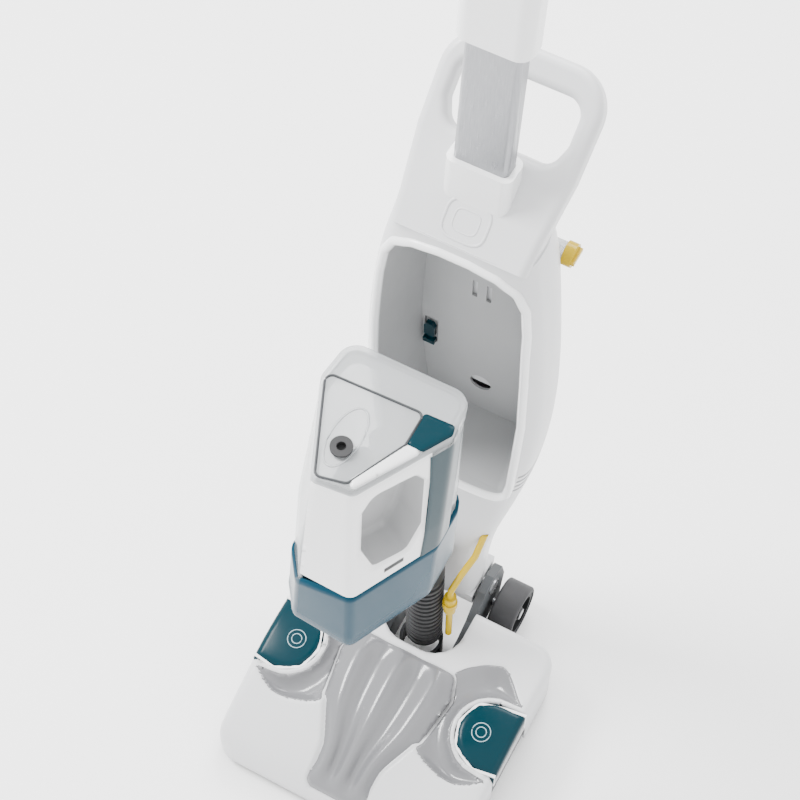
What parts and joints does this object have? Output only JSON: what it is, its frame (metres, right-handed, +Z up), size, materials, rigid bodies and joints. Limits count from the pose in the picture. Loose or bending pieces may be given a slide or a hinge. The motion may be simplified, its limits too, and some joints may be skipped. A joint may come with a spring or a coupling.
{
  "type": "upright carpet washer",
  "caption": "Upright carpet washer with a powered brush foot, a reclining body, a draw-out dirty-water tank and a flat pole with a trigger grip.",
  "frame": {"origin": "on the floor plane under the middle of the object's own box", "axes": "+Z up, +X across to the user's side seen from the front, -Y towards the front of the foot"},
  "size_m": [0.292, 0.4108, 1.1304],
  "materials": {
    "shell_white": "gloss white moulding",
    "trim_white": "bright gloss white",
    "liner_grey": "satin light grey",
    "cover_grey": "smoked grey",
    "chassis_dark": "dark grey",
    "teal_dark": "dark teal",
    "teal_blue": "blue teal",
    "clear": "clear plastic",
    "smoke_clear": "clear grey plastic",
    "silver": "brushed",
    "yellow": "yellow",
    "black_rubber": "matt black",
    "tyre": "matt dark grey",
    "wheel_black": "dark grey",
    "bristle": "nylon",
    "steel": "plain steel",
    "motor_metal": "grey",
    "nylon": "natural nylon"
  },
  "bodies": {
    "foot": {"foot_chassis": "chassis_dark", "foot_hood": "shell_white", "nozzle_lip": "chassis_dark", "drive_belt": "black_rubber", "brush_motor": "motor_metal", "spray_bar": "nylon", "wheel_axles": "steel", "pivot_pins": "steel", "hose_cuff": "wheel_black", "foot_screws": "steel", "latch_trays": "trim_white", "latch_spring_left": "steel", "latch_spring_right": "steel"},
    "nozzle_cover": {"nozzle_cover": "cover_grey"},
    "brush_roll": {"brush_core": "wheel_black", "brush_bristles": "bristle", "brush_pulley": "nylon"},
    "brush_drive": {"motor_pulley": "steel"},
    "latch_left": {"latch_left": "teal_dark"},
    "latch_right": {"latch_right": "teal_dark"},
    "wheel_left": {"wheel_left": "wheel_black", "tyre_left": "tyre"},
    "wheel_right": {"wheel_right": "wheel_black", "tyre_right": "tyre"},
    "upright": {"body_front_shell": "shell_white", "body_rear_shell": "shell_white", "carry_handle": "shell_white", "bay_liner": "liner_grey", "bay_trim": "trim_white", "pole_socket": "trim_white", "pole_tube": "silver", "handle_sleeve": "trim_white", "handle_grip": "shell_white", "trigger_pin": "steel", "fan_motor": "motor_metal", "fan_housing": "nylon", "pump": "wheel_black", "suction_duct": "wheel_black", "neck_hose": "black_rubber", "solution_tube": "yellow", "solution_fitting": "yellow", "cord_gland": "black_rubber", "body_screws": "steel"},
    "tank_catch": {"tank_catch": "teal_dark"},
    "trigger": {"trigger": "teal_dark"},
    "power_button": {"power_button": "yellow"},
    "cord_hook": {"cord_hook": "teal_dark"},
    "impeller": {"impeller": "nylon"},
    "dirty_tank": {"tank_shell": "clear", "tank_front_panel": "trim_white", "tank_band": "teal_blue", "tank_base": "teal_blue", "float_cage": "liner_grey", "intake_duct": "clear"},
    "tank_lid": {"tank_lid": "smoke_clear", "tank_plug": "black_rubber"},
    "float_ball": {"float_ball": "yellow"},
    "clean_tank": {"clean_tank_shell": "smoke_clear", "clean_valve": "black_rubber"},
    "clean_cap": {"clean_cap": "yellow"}
  },
  "joints": [
    {"name": "recline", "type": "hinge", "parent": "foot", "child": "upright", "pos_m": [0, 0.0846, 0.08], "axis": [-1, 0, 0], "range_deg": [0, 45]},
    {"name": "wheel_left_spin", "type": "hinge", "parent": "foot", "child": "wheel_left", "pos_m": [-0.067, 0.0886, 0.033], "axis": [1, 0, 0], "continuous": true},
    {"name": "wheel_right_spin", "type": "hinge", "parent": "foot", "child": "wheel_right", "pos_m": [0.067, 0.0886, 0.033], "axis": [1, 0, 0], "continuous": true},
    {"name": "brush_spin", "type": "hinge", "parent": "foot", "child": "brush_roll", "pos_m": [0, -0.1494, 0.0285], "axis": [1, 0, 0], "continuous": true},
    {"name": "brush_drive_spin", "type": "hinge", "parent": "foot", "child": "brush_drive", "pos_m": [-0.11, -0.0654, 0.04], "axis": [1, 0, 0], "continuous": true},
    {"name": "latch_left_push", "type": "slide", "parent": "foot", "child": "latch_left", "axis": [0, 0, -1], "range_m": [0, 0.005], "stiffness_N_per_m": 600, "springref_m": -0.003, "deforming": ["latch_spring_left"]},
    {"name": "latch_right_push", "type": "slide", "parent": "foot", "child": "latch_right", "axis": [0, 0, -1], "range_m": [0, 0.005], "stiffness_N_per_m": 600, "springref_m": -0.003, "deforming": ["latch_spring_right"]},
    {"name": "nozzle_cover_lift", "type": "slide", "parent": "foot", "child": "nozzle_cover", "axis": [0, 0, -1], "range_m": [-0.05, 0]},
    {"name": "tank_draw", "type": "slide", "parent": "upright", "child": "dirty_tank", "axis": [0, 1, 0], "range_m": [0, 0.136]},
    {"name": "tank_lid_lift", "type": "slide", "parent": "dirty_tank", "child": "tank_lid", "axis": [0, 0, -1], "range_m": [-0.03, 0]},
    {"name": "float_rise", "type": "slide", "parent": "dirty_tank", "child": "float_ball", "axis": [0, 0, 1], "range_m": [0, 0.015]},
    {"name": "clean_tank_lift", "type": "slide", "parent": "upright", "child": "clean_tank", "axis": [0, -1, 0], "range_m": [-0.06, 0]},
    {"name": "clean_cap_turn", "type": "hinge", "parent": "clean_tank", "child": "clean_cap", "pos_m": [0.06, 0.1336, 0.676], "axis": [1, 0, 0], "range_deg": [0, 90]},
    {"name": "catch_push", "type": "slide", "parent": "upright", "child": "tank_catch", "axis": [0, 1, 0], "range_m": [0, 0.003], "stiffness_N_per_m": 800, "springref_m": -0.002},
    {"name": "trigger_pull", "type": "hinge", "parent": "upright", "child": "trigger", "pos_m": [0, 0.18431, 1.09094], "axis": [1, 0, 0], "range_deg": [0, 8], "stiffness_Nm_per_rad": 0.4, "springref_deg": -5.73},
    {"name": "power_push", "type": "slide", "parent": "upright", "child": "power_button", "axis": [0, -0.9962, 0.0872], "range_m": [0, 0.002], "stiffness_N_per_m": 500, "springref_m": -0.002},
    {"name": "cord_hook_turn", "type": "hinge", "parent": "upright", "child": "cord_hook", "pos_m": [0, 0.10437, 0.9574], "axis": [0, 0.9962, -0.0872], "range_deg": [0, 180]},
    {"name": "impeller_spin", "type": "hinge", "parent": "upright", "child": "impeller", "pos_m": [0, 0.0806, 0.345], "axis": [0, 0, 1], "continuous": true}
  ],
  "couplings": [
    {"joint": "brush_drive_spin", "follows": "brush_spin", "ratio": 2}
  ]
}
